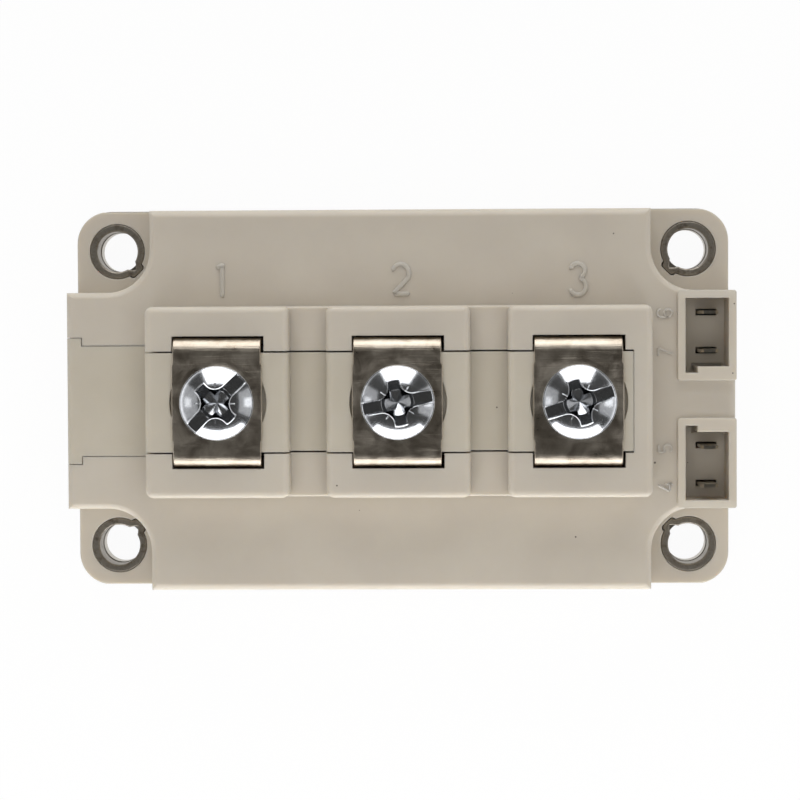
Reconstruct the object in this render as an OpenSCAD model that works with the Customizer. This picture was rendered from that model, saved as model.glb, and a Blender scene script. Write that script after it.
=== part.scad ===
// Half-bridge IGBT power module with three screw terminals and four control tabs.
// Origin: centre of the baseplate's underside. +X points to the control end, +Z up. Millimetres.

/* [Baseplate] */
// Width of the baseplate along Y
plate_w = 61.4; // [58:0.2:66]
// Thickness of the baseplate
plate_t = 3; // [2:0.5:5]
// Corner radius of baseplate and housing
corner_r = 5.2; // [3:0.1:6]
// Distance of the mounting holes from the baseplate's edges
hole_inset = 6.7; // [6.4:0.1:7.4]
// Diameter of the mounting holes in the baseplate
mount_hole_d = 6.4; // [5.5:0.1:6.8]

/* [Sleeves] */
// Outer diameter of the steel sleeves
sleeve_d = 8.8; // [8.2:0.1:9.2]
// Wall of the steel sleeves
sleeve_t = 1.1; // [0.8:0.1:1.3]
// Gap between a sleeve and the plastic around it
sleeve_gap = 0.1; // [0.05:0.05:0.2]
// Width of the lip at a sleeve's seam
lip_w = 2.6; // [2:0.1:3]
// How far the seam lip stands out from the sleeve
lip_out = 0.55; // [0.3:0.05:0.8]
// Rounding of that lip's corners
lip_corner_r = 0.5; // [0.3:0.1:0.8]
// Side of the square notch in the seam
seam_notch = 1.3; // [0.8:0.1:1.6]

/* [Housing] */
// How far the housing stays inside the baseplate's edge
rim_inset = 0.2; // [0.1:0.05:0.5]
// Height of the ears above the baseplate
ear_t = 4.7; // [4:0.1:6]
// Height of the low body's top above the bottom
body_top = 20.5; // [19.5:0.5:23]
// Inward lean of the long side walls over their height
side_draft = 0.35; // [0.1:0.05:0.6]
// Radius of the scoop round each mounting hole
scoop_r = 6.8; // [6.4:0.1:7.2]
// Rounding of the low body's upper edges
edge_r = 1.2; // [0.8:0.1:1.6]
// Wall thickness of the housing
wall = 2.2; // [1.8:0.1:2.6]

/* [Terminal blocks] */
// Distance between neighbouring terminals
pitch = 28; // [27:0.5:32]
// Height of the block tops above the low body
block_rise = 9; // [8:0.5:10]
// Length of a block along X
block_l = 22.4; // [21:0.2:23.6]
// Outward shift of the two outer blocks from their terminals
block_shift = 0.2; // [0:0.1:0.4]
// Step from an outer block's face to the wall of the scoops
block_step = 0.3; // [0.1:0.1:1]
// Width of the blocks along Y
block_w = 29.8; // [28:0.2:31]
// Height of the bridges above the low body
bridge_rise = 4.7; // [3:0.1:6]
// Rounding of the blocks' upper edges
block_edge_r = 1; // [0.6:0.1:1.2]
// Rounding of the blocks' upright corners
block_corner_r = 1.2; // [1.2:0.1:2]
// Rounding of the bridges' upper edges
bridge_edge_r = 0.3; // [0.2:0.1:0.8]
// Gap between a terminal's legs and its slot, along X
slot_gap_x = 0.325; // [0.2:0.025:0.5]
// Gap between a terminal's legs and its slot, along Y
slot_gap_y = 0.25; // [0.2:0.05:0.5]
// Thickness of the housing under the nut carrier
channel_t = 1.6; // [1.2:0.1:2]

/* [Nut carrier] */
// Gap between the carrier's lower flange and a terminal's legs
flange_gap = 0.33; // [0.1:0.01:0.4]
// How far the flange stands out on each side of the carrier
flange_lip = 1; // [0.8:0.1:1.4]
// How far the head at the open end stands out on each side of the flange
head_lip = 1.28; // [0.8:0.04:2]
// Length of that head along X
head_l = 2.4; // [2:0.1:3.5]
// Thickness of the carrier under the wells for the screws' ends
well_floor = 0.6; // [0.5:0.1:1]
// Room under the screws' ends
tip_gap = 0.9; // [0.3:0.1:1.2]
// Room round the screws' ends
well_gap = 0.4; // [0.2:0.1:0.8]
// Gap between the carrier's flange and its channel
carrier_gap = 0.1; // [0.06:0.02:0.2]
// Gap between the carrier's upper part and the blocks on both sides
neck_gap = 0.26; // [0.1:0.02:0.3]
// Gap between the carrier's inner end and its channel
carrier_end_gap = 0.04; // [0.02:0.02:0.2]
// How far the carrier runs past the outer terminal's centre
carrier_run = 8.4; // [8:0.1:9]
// Rim left beside the round recess over each nut
recess_rim = 0.17; // [0.1:0.01:0.5]
// Depth of that recess
recess_depth = 1.2; // [0.8:0.1:1.6]

/* [Terminals] */
// Sheet thickness of the terminals
strap_t = 1; // [0.8:0.05:1.1]
// Length of a terminal over both bends, along Y
strap_w = 20.1; // [19.8:0.05:20.3]
// Width of a terminal's contact face along X
strap_l = 14; // [13.4:0.1:14.1]
// How much narrower each bend is than the contact face
strap_relief = 0.35; // [0.2:0.05:0.6]
// Half length of the wide contact face along Y
strap_face = 5.9; // [4:0.1:7]
// Outer bend radius
strap_bend_r = 2.2; // [1.5:0.1:2.6]
// Sideways shift of a terminal in its slot
strap_shift = 0.1; // [0:0.05:0.1]
// Gap between a screw and the hole in its terminal
strap_hole_gap = 0.3; // [0.2:0.1:0.5]
// Width of the legs' feet along X
foot_w = 4; // [3:0.5:5]
// Length of the feet along Y
foot_l = 3.4; // [3:0.1:3.8]
// How far the legs run down at full width below the channel
neck_drop = 2; // [1:0.1:3]

/* [Screws and nuts] */
// Thread diameter of the terminal screws
screw_d = 6; // [5:0.5:6]
// Length of the screws below the head
screw_l = 12; // [10:0.5:12]
// Diameter of the screw heads
head_d = 11.6; // [10:0.1:12.4]
// Height of the screw heads
head_h = 3.8; // [3:0.1:4.2]
// Radius of the heads' crown
crown_r = 8; // [6.6:0.1:12]
// Width of the slot across the head
drive_slot_w = 1.9; // [1.4:0.1:2.2]
// Depth of the slot
drive_slot_depth = 2.1; // [1:0.1:2.4]
// Length of the cross recess from tip to tip
cross_l = 7.1; // [6:0.1:7.6]
// Width of the cross recess
cross_w = 1.8; // [1.4:0.1:2]
// Depth of the cross recess
cross_depth = 2.8; // [1.8:0.1:3.2]
// Angle of the slot in each screw head
slot_angles = [45, 11, 18];
// Width of the nuts across their flats
nut_af = 10; // [8.5:0.5:10]
// Height of the nuts
nut_h = 5; // [4:0.2:5]
// Gap between a nut and its terminal
nut_top_gap = 0.2; // [0.1:0.1:0.5]
// Gap all round a nut in its pocket
nut_gap = 0.15; // [0.1:0.05:0.25]
// Gap between thread and nut, and round the screw's end
thread_gap = 0.15; // [0.1:0.05:0.25]

/* [Control end] */
// Outer size of a connector shroud along X
shroud_l = 9.2; // [8.8:0.1:9.6]
// Outer size of a connector shroud along Y
shroud_w = 14.2; // [13.6:0.1:14.4]
// Step from a shroud's outer face to the wall of the scoop beside it
shroud_step = 0.05; // [0.05:0.05:0.3]
// Rounding of the shrouds' upright corners
shroud_corner_r = 0.4; // [0.2:0.1:1]
// Height of the shroud rims above the low body
shroud_rise = 1.2; // [0.6:0.1:2]
// Wall of the shrouds
shroud_wall = 1.2; // [1:0.05:1.4]
// Thickness of the cavity floors
floor_t = 1.4; // [1:0.1:1.6]
// Length of the key rib along X
rib_l = 4.9; // [4:0.1:5.4]
// Thickness of the key rib
rib_t = 1; // [0.8:0.1:1.2]
// Width of the groove at the foot of the key rib
rib_groove = 0.4; // [0.3:0.05:0.6]
// Width of a control tab
tab_w = 2.8; // [2.4:0.1:3]
// Thickness of a control tab
tab_t = 0.5; // [0.4:0.1:0.8]
// Height of a control tab above the cavity floor
tab_h = 7; // [6:0.1:8]
// Distance between the two tabs in a shroud
tab_pitch = 6.1; // [5.8:0.1:6.3]
// Outward shift of each tab pair from the shroud's centre
tab_shift_y = 0.6; // [0.3:0.1:0.7]
// Shift of the tabs from the shroud's centre along X
tab_shift_x = 0.45; // [0:0.05:0.5]
// Gap all round a tab in the cavity floor
tab_gap = 0.25; // [0.15:0.05:0.3]
// Diameter of the detent hole in a tab
detent_d = 1.2; // [0.8:0.1:1.4]

/* [Inside] */
// Gap between a substrate and the housing's end of the hollow
substrate_margin = 0.5; // [0.3:0.1:1]
// Gap between the two substrates
substrate_gap = 2; // [1.6:0.1:2.2]
// Thickness of the solder under a substrate
solder_t = 0.2; // [0.1:0.05:0.3]
// Thickness of each copper layer
copper_t = 0.3; // [0.2:0.05:0.4]
// Thickness of the ceramic
ceramic_t = 0.65; // [0.4:0.05:1]
// Distance from the ceramic's edge to the copper
copper_inset = 0.6; // [0.4:0.1:1]
// Width of the gaps between copper tracks
track_gap = 0.5; // [0.3:0.1:0.6]
// Side of a transistor chip
igbt_side = 8; // [6:0.5:8]
// Side of a diode chip
diode_side = 7; // [5:0.5:8]
// Thickness of the chips
chip_t = 0.25; // [0.15:0.05:0.35]
// Gap between a chip and the edge of its copper
chip_margin = 0.3; // [0.2:0.1:0.5]
// Copper kept free at a row's inner end
row_start = 5; // [4.4:0.1:5.4]
// Copper kept free at a row's outer end, beside the pads
row_end = 3.9; // [3.6:0.1:4.4]
// Width of the emitter bars
bar_w = 2; // [1.4:0.1:2.4]
// Width of the copper that ties a row to the centre band
tie_w = 1; // [0.8:0.1:1.4]
// Copper beside a terminal's foot
foot_margin = 0.15; // [0.1:0.05:0.4]
// Length of the emitter area under terminal 2
emitter_l1 = 6; // [5.6:0.1:6.4]
// Length of the emitter area on the other substrate
emitter_l2 = 2.4; // [2:0.1:2.6]
// Length of a lead's pad along X
pad_l = 1.8; // [1.6:0.1:2]
// Width of a lead's pad along Y
pad_w = 2.4; // [1.8:0.1:2.6]
// Distance from the left copper's inner end to the pad of tab 6
pad_6_from_end = 3.2; // [2.8:0.1:3.4]
// Distance from the left copper's inner end to the pad of tab 7
pad_7_from_end = 8.8; // [8.4:0.1:12]
// Distance from the gel's surface up to the leads' level run
lead_lift = 2.3; // [0.3:0.1:3]
// Height of the leads' level run
lead_h = 2; // [1.4:0.1:2.4]
// Width of a lead's leg along X
lead_leg_l = 1.4; // [1:0.1:1.6]
// Width of a lead's foot along Y
lead_foot_w = 1.2; // [0.8:0.1:1.4]
// Gap over the leads' level run
lead_gap = 0.3; // [0.2:0.1:0.6]
// Gap between a lead and the terminals' legs beside it
lead_side_gap = 1; // [0.6:0.1:1.4]
// Diameter of the bond wires
wire_d = 0.4; // [0.3:0.05:0.5]
// Radius of the bond wires' loops
wire_loop_r = 1.6; // [1.5:0.1:1.7]
// Radius of the loops that link the substrates
link_loop_r = 2; // [1.9:0.1:2.1]
// Distance between neighbouring bond wires
wire_pitch = 1.8; // [1.2:0.1:2]
// Height of the gel's surface above the baseplate
gel_h = 4.9; // [4.7:0.1:5.6]
// Gap between the gel's openings and what passes through
gel_gap = 0.1; // [0.05:0.05:0.3]
// Room over and round what the gel's pocket holds
pocket_gap = 0.3; // [0.2:0.1:0.5]
// Distance of the sealant bead from the housing's outside
bead_inset = 0.6; // [0.5:0.1:0.8]
// Width of the sealant bead
bead_w = 0.9; // [0.6:0.1:1.1]
// Depth of the sealant's groove in the housing
bead_h = 0.8; // [0.5:0.1:1]

/* [Hidden] */
$fn = 48;
over = 1;

// The scoops stand just outside the outer blocks, and the baseplate's length follows from them.
waist_x = pitch + block_shift + block_l / 2 + block_step;
hole_x = waist_x + scoop_r;
hole_y = plate_w / 2 - hole_inset;
waist_y = hole_y - scoop_r;
plate_l = 2 * (hole_x + hole_inset);
rim_l = plate_l - 2 * rim_inset;
rim_w = plate_w - 2 * rim_inset;
ear_top = plate_t + ear_t;
// The rounding of a scoop's edge starts this much too high, so that it meets the top in a clean line.
edge_lift = 0.05;
end_wall_x = rim_l / 2 - wall;

block_top = body_top + block_rise;
bridge_top = body_top + bridge_rise;
block_x = pitch + block_shift;

strap_z = block_top + strap_t;
strap_leg_y = strap_w / 2 - strap_t;
bend_l = strap_l - strap_relief;
slot_l = bend_l + 2 * slot_gap_x;
slot_w = strap_w + 2 * slot_gap_y;
strap_hole_d = screw_d + 2 * strap_hole_gap;

flange_w = 2 * (strap_leg_y - flange_gap);
carrier_w = flange_w - 2 * flange_lip;
head_w = flange_w + 2 * head_lip;
recess_d = carrier_w - 2 * recess_rim;
well_z = strap_z - screw_l - tip_gap;
well_d = screw_d + 2 * well_gap;
carrier_z = well_z - well_floor;
carrier_end = pitch + carrier_run;
channel_floor = carrier_z - carrier_gap;
channel_base = channel_floor - channel_t;
neck_z = channel_base - neck_drop;
nut_z = block_top - nut_top_gap - nut_h;

// Half sizes of the hollow, from which the substrates take their length.
hollow_z = body_top - wall;
hollow_x = waist_x - wall;
hollow_y = rim_w / 2 - side_draft - wall;
hollow_end_y = waist_y - wall;

solder_z = plate_t;
bottom_copper_z = solder_z + solder_t;
ceramic_z = bottom_copper_z + copper_t;
top_copper_z = ceramic_z + ceramic_t;
copper_top = top_copper_z + copper_t;
chip_top = copper_top + chip_t;

// Across each substrate: centre band for the terminals' feet, emitter bars, then the chip rows.
band_y = strap_w / 2 + foot_margin;
bar_y0 = band_y + track_gap;
bar_y1 = bar_y0 + bar_w;
row_y0 = bar_y1 + track_gap;
chip_y = row_y0 + chip_margin + igbt_side / 2;
copper_y = row_y0 + igbt_side + 2 * chip_margin;
wire_y = (bar_y0 + bar_y1) / 2 + wire_loop_r;

substrate_x0 = substrate_gap / 2;
substrate_x1 = hollow_x - substrate_margin;
substrate_l = substrate_x1 - substrate_x0;
substrate_x = (substrate_x0 + substrate_x1) / 2;
substrate_w = 2 * (copper_y + copper_inset);
copper_x0 = substrate_x0 + copper_inset;
copper_x1 = substrate_x1 - copper_inset;

// Two transistors and a diode share each row with equal gaps.
chip_gap = (copper_x1 - copper_x0 - row_start - row_end - 2 * igbt_side - diode_side) / 2;
chip_x0 = copper_x0 + row_start + igbt_side / 2;
chip_x1 = chip_x0 + igbt_side + chip_gap;
chip_x2 = chip_x1 + (igbt_side + diode_side) / 2 + chip_gap;
link_y0 = row_y0 + pad_w + track_gap + wire_pitch / 2;
foot_x2 = -copper_x0 - emitter_l1 / 2;

gel_top = plate_t + gel_h;
pocket_z = copper_top + link_loop_r + wire_d / 2 + pocket_gap;
lead_z = gel_top + lead_lift;
lead_top = lead_z + lead_h;
// The near pads lie inside the terminals' legs, and the far ones beside the chip rows.
pad_y_near = strap_leg_y - lead_side_gap - tab_t / 2;
pad_y_far = row_y0 + pad_w / 2;

rim_z = body_top + shroud_rise;
cavity_z = lead_top + lead_gap + floor_t;
shroud_x = rim_l / 2 - shroud_l / 2;
shroud_y = waist_y - shroud_step - shroud_w / 2;
cavity_l = shroud_l - 2 * shroud_wall;
cavity_w = shroud_w - 2 * shroud_wall;

tab_x = shroud_x + tab_shift_x;
tab_y_near = shroud_y + tab_shift_y - tab_pitch / 2;
tab_y_far = shroud_y + tab_shift_y + tab_pitch / 2;
pad_x4 = copper_x1 - tie_w - track_gap - pad_l / 2;
pad_x6 = -copper_x0 - pad_6_from_end;
pad_x7 = -copper_x0 - pad_7_from_end;

// Small shapes shared by several pieces.

// Upright rectangle with its two upper corners rounded.
module rounded_top(w, h, r) {
    translate([-w / 2, 0]) square([w, h - r]);
    translate([r - w / 2, 0]) square([w - 2 * r, h]);
    for (side = [-1, 1]) translate([side * (w / 2 - r), h - r]) circle(r);
}

// Rectangle with four rounded corners.
module rounded_plan(l, w, r) {
    square([l - 2 * r, w], center = true);
    square([l, w - 2 * r], center = true);
    for (sx = [-1, 1], sy = [-1, 1]) translate([sx * (l / 2 - r), sy * (w / 2 - r)]) circle(r);
}

// Stretch a profile drawn in Y and Z along X, or one drawn in X and Z along Y.
module along_x(length) {
    rotate([90, 0, 90]) linear_extrude(length, center = true) children();
}

module along_y(length) {
    rotate([90, 0, 0]) linear_extrude(length, center = true) children();
}

module at_corners() {
    for (sx = [-1, 1], sy = [-1, 1]) translate([sx * hole_x, sy * hole_y]) children();
}

module at_terminals() {
    for (n = [-1 : 1]) translate([n * pitch, 0]) children();
}

// Box centred in X and Y between two heights.
module slab(l, w, z0, z1) {
    translate([-l / 2, -w / 2, z0]) cube([l, w, z1 - z0]);
}

module baseplate() {
    color("#b9b6ae") difference() {
        linear_extrude(plate_t) rounded_plan(plate_l, plate_w, corner_r);
        at_corners() translate([0, 0, -over]) cylinder(h = plate_t + 2 * over, d = mount_hole_d);
    }
}

// Sleeves: rolled strip with a lip and a notch at the seam, which faces the module's centre.

module sleeve_outline(grow) {
    circle(sleeve_d / 2 + grow);
    lip_l = 2 * (lip_out + over);
    translate([sleeve_d / 2 - over, 0]) rounded_plan(lip_l + 2 * grow, lip_w + 2 * grow, lip_corner_r + grow);
}

module sleeve_at(sx, sy) {
    turn = atan2(-sy, -sx);
    color("#a9a49a") translate([sx * hole_x, sy * hole_y, plate_t])
        rotate(turn) difference() {
            linear_extrude(ear_t) sleeve_outline(0);
            translate([0, 0, -over]) cylinder(h = ear_t + 2 * over, d = sleeve_d - 2 * sleeve_t);
            translate([sleeve_d / 2 - sleeve_t, 0, ear_t / 2]) rotate(45)
                cube([seam_notch, seam_notch, ear_t + 2 * over], center = true);
        }
}

// Housing.

// Cross-section of the low body: leaning sides and rounded upper edges.
module body_section() {
    foot = rim_w / 2;
    head = foot - side_draft;
    corner_z = body_top - edge_r;
    corner_y = foot - side_draft * (corner_z - plate_t) / (body_top - plate_t) - edge_r;
    difference() {
        polygon([[-foot, plate_t], [foot, plate_t], [head, body_top], [-head, body_top]]);
        for (side = [0, 1]) mirror([side, 0]) difference() {
            translate([corner_y, corner_z]) square(edge_r + over);
            translate([corner_y, corner_z]) circle(edge_r);
        }
    }
}

// Half section of a scoop, from its centre outwards, flaring where the wall's top edge is rounded.
module scoop_section() {
    round_z = body_top - edge_r + edge_lift;
    difference() {
        translate([0, ear_top]) square([scoop_r + edge_r, body_top - ear_top + over]);
        translate([scoop_r, ear_top - over]) square([edge_r + over, round_z - ear_top + over]);
        translate([scoop_r + edge_r, round_z]) circle(edge_r);
    }
}

// One scoop round its own centre, open towards +X and +Y.
module scoop() {
    reach = corner_r + scoop_r;
    rotate_extrude(angle = 90, start = 180) scoop_section();
    translate([reach / 2, 0]) mirror([0, 1, 0]) along_x(reach) scoop_section();
    translate([0, reach / 2]) mirror([1, 0, 0]) along_y(reach) scoop_section();
    translate([-over, -over, ear_top]) cube([reach + over, reach + over, body_top - ear_top + over]);
}

// Side view of the three blocks and the two bridges between them.
module block_side_view() {
    for (n = [-1 : 1]) translate([n * block_x, 0]) rounded_top(block_l, block_top, block_edge_r);
    translate([-pitch, 0]) square([2 * pitch, bridge_top]);
}

// Half section of a block's corner, from the upright corner's axis outwards.
module corner_section() {
    square([block_corner_r, block_top - block_edge_r]);
    square([block_corner_r - block_edge_r, block_top]);
    translate([block_corner_r - block_edge_r, block_top - block_edge_r]) intersection() {
        circle(block_edge_r);
        square(block_edge_r);
    }
}

// One block, with its upper edges rounded also where they turn its corners.
module block() {
    inner_l = block_l - 2 * block_corner_r;
    inner_w = block_w - 2 * block_corner_r;
    along_y(inner_w) rounded_top(block_l, block_top, block_edge_r);
    along_x(inner_l) rounded_top(block_w, block_top, block_edge_r);
    for (quarter = [0 : 3]) {
        sx = quarter == 0 || quarter == 3 ? 1 : -1;
        sy = quarter < 2 ? 1 : -1;
        translate([sx * inner_l / 2, sy * inner_w / 2])
            rotate_extrude(angle = 90, start = 90 * quarter) corner_section();
    }
}

module raised_blocks() {
    intersection() {
        union() {
            for (n = [-1 : 1]) translate([n * block_x, 0]) block();
            along_x(2 * pitch) rounded_top(block_w, bridge_top, bridge_edge_r);
        }
        slab(plate_l, plate_w, body_top - over, block_top + over);
    }
}

module shroud_walls() {
    for (side = [-1, 1]) translate([shroud_x, side * shroud_y])
        translate([0, 0, cavity_z - floor_t]) linear_extrude(rim_z - cavity_z + floor_t)
            rounded_plan(shroud_l, shroud_w, shroud_corner_r);
}

// Cavity of one shroud, with the key rib on the side that faces the module's centre line.
module shroud_cavity() {
    rib_x = cavity_l / 2 - rib_l;
    difference() {
        slab(cavity_l, cavity_w, cavity_z, rim_z + over);
        translate([rib_x, -cavity_w / 2 - over, cavity_z - over])
            cube([rib_l + over, rib_t + over, rim_z - cavity_z + 3 * over]);
    }
    // Groove in the floor along the rib's two free edges.
    translate([rib_x - rib_groove, -cavity_w / 2, cavity_z - floor_t / 2])
        cube([rib_groove, rib_t + rib_groove, floor_t]);
    translate([rib_x - rib_groove, rib_t - cavity_w / 2, cavity_z - floor_t / 2])
        cube([rib_l, rib_groove, floor_t]);
}

// Openings in the floor that the control tabs pass through.
module tab_slots() {
    for (side = [-1, 1], y = [tab_y_near, tab_y_far])
        translate([tab_x, side * y, 0])
            slab(tab_w + 2 * tab_gap, tab_t + 2 * tab_gap, cavity_z - floor_t - over, cavity_z + over);
}

// Plan of the hollow: a wide middle and two narrower ends between the ears.
module hollow_plan() {
    square([2 * hollow_x, 2 * hollow_y], center = true);
    square([2 * end_wall_x, 2 * hollow_end_y], center = true);
}

// Hollow under the low body, clear of the channel and the shrouds.
module inner_hollow() {
    difference() {
        translate([0, 0, plate_t - over]) linear_extrude(hollow_z - plate_t + over) hollow_plan();
        slab(plate_l, slot_w + 2 * wall, channel_base, block_top);
        translate([shroud_x, 0]) slab(shroud_l + 2 * wall, 2 * waist_y, cavity_z - floor_t, block_top);
    }
}

// Channel that the nut carrier slides into from the left end.
module carrier_channel() {
    closed_x = carrier_end + carrier_end_gap;
    run = closed_x + plate_l / 2;
    translate([-plate_l / 2, -flange_w / 2 - carrier_gap, channel_floor])
        cube([run, flange_w + 2 * carrier_gap, body_top + carrier_gap - channel_floor]);
    translate([-plate_l / 2, -carrier_w / 2 - neck_gap, channel_floor])
        cube([run, carrier_w + 2 * neck_gap, block_top]);
    translate([-plate_l / 2 - over, -head_w / 2 - carrier_gap, channel_floor])
        cube([over + rim_inset + head_l + carrier_gap, head_w + 2 * carrier_gap, body_top]);
}

module terminal_slots() {
    at_terminals() for (side = [-1, 1])
        translate([-slot_l / 2, side > 0 ? carrier_w / 2 : -slot_w / 2, channel_base - over])
            cube([slot_l, (slot_w - carrier_w) / 2, block_top]);
}

module sealant_ring() {
    inner = bead_inset + bead_w;
    difference() {
        rounded_plan(rim_l - 2 * bead_inset, rim_w - 2 * bead_inset, corner_r - bead_inset);
        rounded_plan(rim_l - 2 * inner, rim_w - 2 * inner, corner_r - inner);
    }
}

module housing() {
    color("#c9c1b3") difference() {
        union() {
            intersection() {
                translate([0, 0, plate_t]) linear_extrude(body_top) rounded_plan(rim_l, rim_w, corner_r);
                along_x(plate_l) body_section();
                along_y(plate_w) rounded_top(rim_l, body_top, edge_r);
            }
            raised_blocks();
            shroud_walls();
        }
        for (sx = [0, 1], sy = [0, 1]) mirror([sx, 0, 0]) mirror([0, sy, 0])
            translate([hole_x, hole_y]) scoop();
        inner_hollow();
        carrier_channel();
        terminal_slots();
        for (side = [0, 1]) mirror([0, side, 0]) translate([shroud_x, shroud_y]) shroud_cavity();
        tab_slots();
        for (sx = [-1, 1], sy = [-1, 1]) translate([sx * hole_x, sy * hole_y, plate_t - over])
            rotate(atan2(-sy, -sx)) linear_extrude(ear_t + 2 * over) sleeve_outline(sleeve_gap);
        translate([0, 0, plate_t - over]) linear_extrude(bead_h + over) sealant_ring();
    }
}

module sealant() {
    color("#3b3a37") translate([0, 0, plate_t]) linear_extrude(bead_h) sealant_ring();
}

// Nut carrier: flush with blocks, bridges and low body.

module nut_carrier() {
    end_x = -rim_l / 2;
    color("#c6beb0") difference() {
        union() {
            intersection() {
                along_y(carrier_w) block_side_view();
                translate([end_x, -carrier_w / 2, body_top - over])
                    cube([carrier_end - end_x, carrier_w, block_top]);
            }
            intersection() {
                along_y(plate_w) rounded_top(rim_l, body_top, edge_r);
                union() {
                    translate([end_x, -flange_w / 2, carrier_z])
                        cube([carrier_end - end_x, flange_w, body_top - carrier_z]);
                    translate([end_x, -head_w / 2, carrier_z])
                        cube([head_l, head_w, body_top - carrier_z]);
                }
            }
        }
        at_terminals() {
            translate([0, 0, block_top - recess_depth]) cylinder(h = recess_depth + over, d = recess_d);
            translate([0, 0, nut_z]) hex_prism(nut_af + 2 * nut_gap, block_top);
            translate([0, 0, well_z]) cylinder(h = block_top, d = well_d);
        }
    }
}

module hex_prism(flats, height) {
    rotate(30) cylinder(h = height, d = flats / cos(30), $fn = 6);
}

module nut_at(n) {
    color("#a8a8a6") translate([n * pitch, 0, nut_z]) difference() {
        hex_prism(nut_af, nut_h);
        translate([0, 0, -over]) cylinder(h = nut_h + 2 * over, d = screw_d + 2 * thread_gap);
    }
}

// Terminals: a strap bent down at both ends, with a narrow leg and a soldered foot on each side.

module strap_section() {
    difference() {
        rounded_top(strap_w, strap_z, strap_bend_r);
        rounded_top(strap_w - 2 * strap_t, strap_z - strap_t, strap_bend_r - strap_t);
    }
}

module strap_front(foot_x) {
    translate([-bend_l / 2, neck_z]) square([bend_l, strap_z]);
    translate([foot_x - foot_w / 2, copper_top]) square([foot_w, strap_z - copper_top - strap_bend_r]);
}

module terminal_at(n, foot_x) {
    foot_y = strap_w / 2 - foot_l;
    color("#a79f92") translate([n * pitch - strap_shift, 0, 0]) difference() {
        union() {
            intersection() {
                along_x(2 * slot_l) strap_section();
                along_y(2 * strap_w) strap_front(foot_x);
            }
            slab(strap_l, 2 * strap_face, block_top, strap_z);
            for (side = [0, 1]) mirror([0, side, 0]) translate([foot_x - foot_w / 2, foot_y, copper_top])
                cube([foot_w, foot_l - strap_t / 2, strap_t]);
        }
        translate([strap_shift, 0, copper_top]) cylinder(h = strap_z, d = strap_hole_d);
    }
}

module screw_at(n, angle) {
    color("#d2d3d4") translate([n * pitch, 0, strap_z]) rotate(angle) difference() {
        union() {
            rotate_extrude() intersection() {
                square([head_d / 2, head_h]);
                translate([0, head_h - crown_r]) circle(crown_r, $fn = 96);
            }
            translate([0, 0, -screw_l]) cylinder(h = screw_l + head_h / 4, d = screw_d);
        }
        slab(head_d + over, drive_slot_w, head_h - drive_slot_depth, head_h + over);
        slab(cross_l, cross_w, head_h - cross_depth, head_h + over);
        slab(cross_w, cross_l, head_h - cross_depth, head_h + over);
    }
}

// Control tabs: stamped blades, each with a level lead under the shroud floor that ends in a bent foot.

// Upright strip across a lead, where it bends from one line to another.
module lead_bend(x, y_from, y_to) {
    translate([x, min(y_from, y_to) - tab_t / 2, lead_z]) cube([tab_t, abs(y_from - y_to) + tab_t, lead_h]);
}

module tab_at(y, lead_y, pad_x, pad_y) {
    tip_z = cavity_z + tab_h;
    chamfer = tab_w / 6;
    right = tab_x + tab_w / 2;
    left = tab_x - tab_w / 2;
    leg = pad_x - lead_leg_l / 2;
    color("#b7b0a2") {
        translate([0, y, 0]) difference() {
            along_y(tab_t) polygon([
                [right, lead_z], [right, tip_z - chamfer], [right - chamfer, tip_z],
                [left + chamfer, tip_z], [left, tip_z - chamfer], [left, lead_z]]);
            translate([tab_x, 0, tip_z - tab_h / 2]) rotate([90, 0, 0])
                cylinder(h = 2 * tab_t, d = detent_d, center = true, $fn = 24);
        }
        lead_bend(left, y, lead_y);
        translate([leg, lead_y - tab_t / 2, lead_z]) cube([left + tab_t - leg, tab_t, lead_h]);
        lead_bend(leg, lead_y, pad_y);
        translate([pad_x, pad_y, 0]) {
            slab(lead_leg_l, tab_t, copper_top, lead_top);
            slab(lead_leg_l, lead_foot_w, copper_top, copper_top + tab_t);
        }
    }
}

// Substrates: side -1 is the left one, side 1 the right one.

module substrate_layer(side, inset, z, t) {
    translate([side * substrate_x, 0, z]) linear_extrude(t)
        square([substrate_l - 2 * inset, substrate_w - 2 * inset], center = true);
}

module solder_at(side) {
    color("#8f9193") substrate_layer(side, copper_inset, solder_z, solder_t);
}

module bottom_copper_at(side) {
    color("#b0714c") substrate_layer(side, copper_inset, bottom_copper_z, copper_t);
}

module ceramic_at(side) {
    color("#e8e6df") substrate_layer(side, 0, ceramic_z, ceramic_t);
}

// Area of the emitter tracks: two bars joined at the substrate's inner end.
module emitter_area(side) {
    far_x = copper_x1 - tie_w - track_gap;
    area_l = side < 0 ? emitter_l1 : emitter_l2;
    area_y = side < 0 ? bar_y1 : copper_y;
    mirror([side < 0 ? 1 : 0, 0]) {
        translate([copper_x0, -area_y]) square([area_l, 2 * area_y]);
        for (y = [-bar_y1, bar_y0]) translate([copper_x0, y]) square([far_x - copper_x0, bar_y1 - bar_y0]);
    }
}

// Pads for the control leads of one substrate.
module pad_area(side) {
    if (side < 0) {
        translate([pad_x6, pad_y_far]) square([pad_l, pad_w], center = true);
        translate([pad_x7, pad_y_near]) square([pad_l, pad_w], center = true);
    } else {
        translate([pad_x4, -pad_y_far]) square([pad_l, pad_w], center = true);
        translate([pad_x4, -pad_y_near]) square([pad_l, pad_w], center = true);
    }
}

// Grow a track of straight edges by the gap between tracks.
module track_clearance() {
    for (dx = [-1, 0, 1], dy = [-1, 0, 1]) translate([dx * track_gap, dy * track_gap]) children();
}

module top_copper_at(side) {
    color("#c07f57") translate([0, 0, top_copper_z]) linear_extrude(copper_t) {
        difference() {
            translate([side * substrate_x, 0]) square([copper_x1 - copper_x0, 2 * copper_y], center = true);
            track_clearance() emitter_area(side);
            track_clearance() pad_area(side);
        }
        emitter_area(side);
        pad_area(side);
    }
}

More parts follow.
